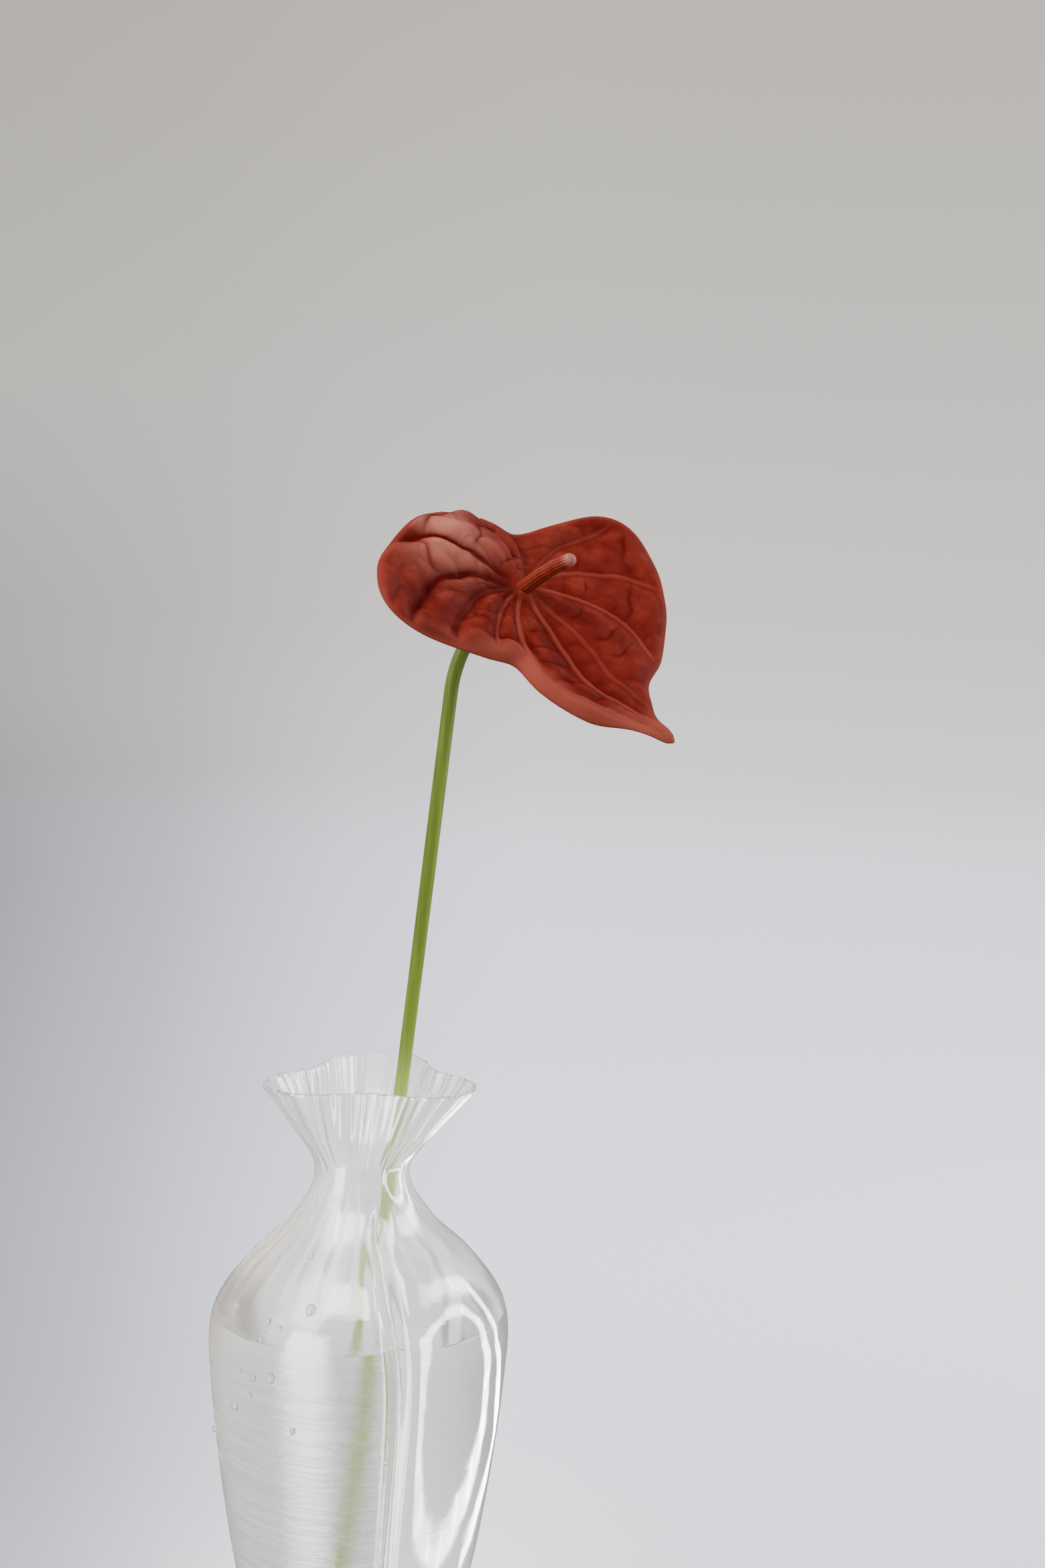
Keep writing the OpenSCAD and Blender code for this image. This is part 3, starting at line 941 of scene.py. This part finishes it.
def stage_mesh(segments=96):
    """A round floor that curves up into a wall, as metres in a profile turned about Z."""
    profile = [(0.0001, 0), (0.4, 0), (1.2, 0), (2.0, 0)]
    for t in np.radians(np.arange(6, 91, 6)):
        profile.append((2.0 + 1.2 * math.sin(t), 1.2 * (1 - math.cos(t))))
    profile += [(3.2, 3.2)]
    points, faces = [], []
    for r, z in profile:
        for k in range(segments):
            b = 2 * math.pi * k / segments
            points.append((r * math.cos(b) / MM, r * math.sin(b) / MM, z / MM))
    for i in range(len(profile) - 1):
        for k in range(segments):
            q, nxt = i * segments, (k + 1) % segments
            faces.append([q + k, q + nxt, q + segments + nxt, q + segments + k])
    return points, faces


def stage_shade(nodes, links, axes, height):
    """How much of the paint's light is kept: less in front of the vase, and low down on the left."""
    depth = soft_step(nodes, links, axes.outputs["Y"], -1.0, 0.6, 0.5, 1.0)
    reach = maths(nodes, links, "ADD", axes.outputs["Y"], 0.9)
    reach = maths(nodes, links, "MAXIMUM", reach, 0.3)
    sideways = maths(nodes, links, "DIVIDE", axes.outputs["X"], reach)
    sideways = maths(nodes, links, "ADD", sideways, 0.5)
    across = ramp(nodes, links, sideways, [
        (0.25, grey(0.24)), (0.36, grey(0.50)), (0.44, grey(0.82)), (0.52, grey(1)),
    ])
    # The shade on the left fades up the wall, and towards the camera's side of the room
    lift = ramp(nodes, links, height, [
        (0.0, grey(0)), (0.12, grey(0.25)), (0.45, grey(0.7)), (1.0, grey(0.77)),
    ])
    near_side = soft_step(nodes, links, axes.outputs["Y"], -0.7, 0.3, 1.0, 0.0)
    lift = maths(nodes, links, "MAXIMUM", lift, near_side)
    across = mix_colour(nodes, links, lift, across, grey(1))
    return maths(nodes, links, "MULTIPLY", depth, across)


def make_stage():
    """A pale floor and wall that shine a little, and are left out of shadows and reflections."""
    material, nodes, links, shader = node_tree("stage_paint")
    coords = nodes.new("ShaderNodeTexCoord")
    axes = nodes.new("ShaderNodeSeparateXYZ")
    links.new(coords.outputs["Object"], axes.inputs[0])
    # Cool and bright on the floor, warm and quieter up the wall
    height = maths(nodes, links, "MULTIPLY", axes.outputs["Z"], 1 / 1.6)
    paint = ramp(nodes, links, height, [
        (0.0, (0.80, 0.80, 0.90, 1)),
        (0.06, (0.64, 0.635, 0.655, 1)),
        (0.2, (0.555, 0.535, 0.515, 1)),
        (0.45, (0.49, 0.47, 0.44, 1)),
        (1.0, (0.40, 0.375, 0.335, 1)),
    ])
    shade = stage_shade(nodes, links, axes, height)
    tone = mix_colour(nodes, links, 1.0, paint, shade, "MULTIPLY")
    links.new(tone, shader.inputs["Base Color"])
    links.new(tone, shader.inputs["Emission Color"])
    shader.inputs["Emission Strength"].default_value = 1.15
    shader.inputs["Roughness"].default_value = 0.9
    shader.inputs["Specular IOR Level"].default_value = 0.06
    stage = new_object("stage_floor", *stage_mesh(), [material])
    stage.visible_shadow = False
    stage.visible_diffuse = False
    stage.visible_glossy = False


def add_area(name, where, target, size, power, colour):
    """A soft box at a place, faced to a target, that the camera does not see."""
    light = bpy.data.lights.new(name, "AREA")
    light.shape = "RECTANGLE"
    light.size, light.size_y = size
    light.energy = power
    light.color = colour
    obj = bpy.data.objects.new(name, light)
    bpy.context.scene.collection.objects.link(obj)
    obj.location = where
    obj.rotation_euler = (Vector(where) - Vector(target)).to_track_quat("Z", "Y").to_euler()
    obj.visible_camera = False
    return obj


def make_room():
    """Even light from all round, brighter above and at the right, dimmer in reflections."""
    world = bpy.data.worlds.new("room")
    bpy.context.scene.world = world
    world.use_nodes = True
    nodes, links = world.node_tree.nodes, world.node_tree.links
    background = nodes["Background"]
    coords = nodes.new("ShaderNodeTexCoord")
    axes = nodes.new("ShaderNodeSeparateXYZ")
    links.new(coords.outputs["Generated"], axes.inputs[0])
    above = maths(nodes, links, "MULTIPLY", axes.outputs["Z"], 0.35)
    right = maths(nodes, links, "MULTIPLY", axes.outputs["X"], 0.14)
    level = maths(nodes, links, "ADD", maths(nodes, links, "ADD", above, 0.36), right)
    colour = ramp(nodes, links, level, [(0.0, (0.30, 0.30, 0.31, 1)), (1.0, (0.97, 0.98, 1.0, 1))])
    links.new(colour, background.inputs["Color"])
    path = nodes.new("ShaderNodeLightPath")
    dim = maths(nodes, links, "MULTIPLY", path.outputs["Is Glossy Ray"], -0.3)
    links.new(maths(nodes, links, "ADD", dim, 1.0), background.inputs["Strength"])


def make_lights():
    """A large window at the left in front, and a weak fill from the right."""
    target = (0, 0, 0.2)
    add_area("window", (-1.25, -0.95, 1.15), target, (1.2, 1.3), 21, (1.0, 0.985, 0.97))
    add_area("fill_right", (1.2, 0.25, 0.7), target, (0.8, 1.2), 10, (1.0, 0.99, 0.98))


def light_only(name, lamps, pieces):
    """Keep these lamps to these pieces alone."""
    receivers = bpy.data.collections.new(name)
    for piece in pieces:
        receivers.objects.link(piece)
    for lamp in lamps:
        lamp.light_linking.receiver_collection = receivers


def add_key(name, where, power, pieces):
    """A small warm lamp that lights these pieces alone."""
    key = add_area(name, where, (0.06, 0, 0.40), (0.25, 0.25), power, (1.0, 0.95, 0.88))
    light_only(name + "_pieces", [key], pieces)


def add_glow(name, where, target, size, radiance):
    """A soft box of a given brightness, whatever its size."""
    power = radiance * math.pi * size[0] * size[1]
    return add_area(name, where, target, size, power, (0.98, 0.99, 1.0))


def add_strip(name, path, width, radiance):
    """Soft boxes end to end round the vase, along a path of (bearing from the front, height)."""
    corners = []
    for bearing, height in path:
        b = math.radians(bearing)
        corners.append(Vector((STRIP_R * math.sin(b), -STRIP_R * math.cos(b), height)))
    boxes = []
    for start, end in zip(corners, corners[1:]):
        middle = (start + end) / 2
        # Each box runs on a little past its corners, so that the strip has no gaps
        length = (end - start).length + 0.3 * width
        along = (end - start).normalized()
        outward = Vector((middle.x, middle.y, 0)).normalized()
        across = along.cross(outward).normalized()
        box = add_glow(name, middle, (0, 0, middle.z), (width, length), radiance)
        box.rotation_euler = Matrix((across, along, across.cross(along))).transposed().to_euler()
        boxes.append(box)
    return boxes


def make_reflections(glass_pieces):
    """Soft boxes close to the vase that light nothing, and only show as reflections in it.

    A tall one stands at the left of the camera, with two above it. Two nested frames of
    strips stand on the right.
    """
    # Name, place, point faced, size, radiance
    boxes = [add_glow(*glow) for glow in (
        ("glow_left", (-0.222, -0.356, 0.035), (0, 0, 0.035), (0.25, 0.77), 31),
        ("glow_shoulder", (-0.26, -0.26, 0.62), (0, 0, 0.16), (0.26, 0.30), 16),
        ("glow_collar", (0.0, -0.36, 0.76), (0, 0, 0.21), (0.50, 0.16), 36),
    )]
    inner = [
        (44, -0.03), (44, 0.10), (46, 0.26), (58, 0.36), (80, 0.38), (98, 0.32), (104, 0.20),
        (106, 0.07), (116, -0.03), (120, -0.08), (112, -0.125), (98, -0.165), (84, -0.205),
        (68, -0.213), (54, -0.18), (47, -0.12), (44, -0.03),
    ]
    outer = [
        (60, 0.54), (82, 0.48), (105, 0.38), (120, 0.29), (119, 0.16), (125, 0.03),
        (140, -0.04), (152, -0.065), (149, -0.09), (136, -0.14), (122, -0.19),
    ]
    boxes += add_strip("frame_inner", inner, 0.046, 44)
    boxes += add_strip("frame_outer", outer, 0.030, 36)
    for box in boxes:
        box.visible_diffuse = False
        box.visible_transmission = False
    light_only("glass_only", boxes, glass_pieces)


def make_camera():
    """A 50 mm lens that looks a little down, rolled a little anticlockwise."""
    camera = bpy.data.cameras.new("camera")
    camera.lens = 50
    camera.sensor_width = 36
    camera.sensor_fit = "AUTO"
    camera.clip_start, camera.clip_end = 0.05, 20
    obj = bpy.data.objects.new("camera", camera)
    bpy.context.scene.collection.objects.link(obj)
    obj.matrix_world = (
        Matrix.Translation(CAMERA_PLACE)
        @ Matrix.Rotation(math.radians(90 - CAMERA_DOWN), 4, "X")
        @ Matrix.Rotation(math.radians(CAMERA_ROLL), 4, "Z")
    )
    bpy.context.scene.camera = obj


# ---------------------------------------------------------------- assembly

def attach(piece, body, node):
    """Ride on a body, and stand for a CAD node if there is one."""
    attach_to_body(piece, body)
    if node:
        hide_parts(node)


make_camera()
make_room()
make_lights()
make_stage()

# The glass bends light less where it meets water. The sides of the water bend it no
# more, and its top only a little, or the far half of the vase would turn dark.
glass = glass_material("glass_clear", GLASS_IOR, 0.045, 0.05, 0.6)
wet_glass = glass_material("glass_wet", GLASS_IOR / WATER_IOR, 0.03, 0.05, 0.5)
water_top = glass_material("water_surface", 1.1, 0.0, 0.0, 0.0)
water_side = glass_material("water_side", 1.0, 0.0, 0.0, 0.0)
stem_green = stem_material()

vase_glass = make_vase(glass, wet_glass)
water_fill = make_water(water_top, water_side)
drops = make_drops(drop_material())
make_reflections((vase_glass, water_fill, drops))
attach(vase_glass, "vase", "vase_body")
attach(water_fill, "vase", "water")
attach(drops, "vase", None)

attach(make_stem_end(stem_green), "cut_end", "stem_end")
stem = make_stem(stem_green)
spathe = make_spathe(spathe_material())
spadix = make_spadix(spadix_material())
add_key("bract_key", (-0.75, -0.35, 1.15), 6.5, (spathe, spadix))
add_key("stem_key", (0.9, -0.15, 0.6), 3.5, (stem,))
attach(stem, "flower", "flower_stem")
attach(spathe, "flower", "spathe")
attach(spadix, "flower", "spadix")
